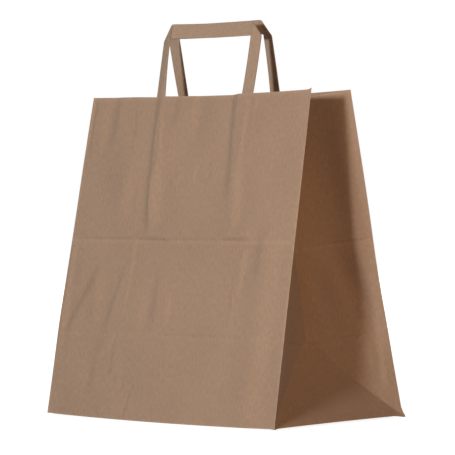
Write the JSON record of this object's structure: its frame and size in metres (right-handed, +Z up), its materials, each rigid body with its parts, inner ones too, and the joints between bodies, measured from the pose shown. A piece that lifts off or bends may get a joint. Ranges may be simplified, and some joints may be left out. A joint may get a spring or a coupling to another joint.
{
  "type": "flat handle paper bag",
  "caption": "Open-topped brown kraft paper carrier bag with folded side gussets, a block bottom and a pair of flat folded tape handles on reinforcing patches.",
  "frame": {"origin": "on the ground at the middle of the bottom", "axes": "+Z up, the front panel towards -Y, the width along X"},
  "size_m": [0.26, 0.1501, 0.3225],
  "materials": {
    "kraft_sheet": "uncoated brown kraft, creased",
    "handle_tape": "folded kraft tape, matt",
    "patch_paper": "uncoated brown kraft"
  },
  "bodies": {
    "root": {"bag_body": "kraft_sheet", "front_handle": "handle_tape", "back_handle": "handle_tape", "front_handle_patch": "patch_paper", "back_handle_patch": "patch_paper"}
  },
  "joints": []
}
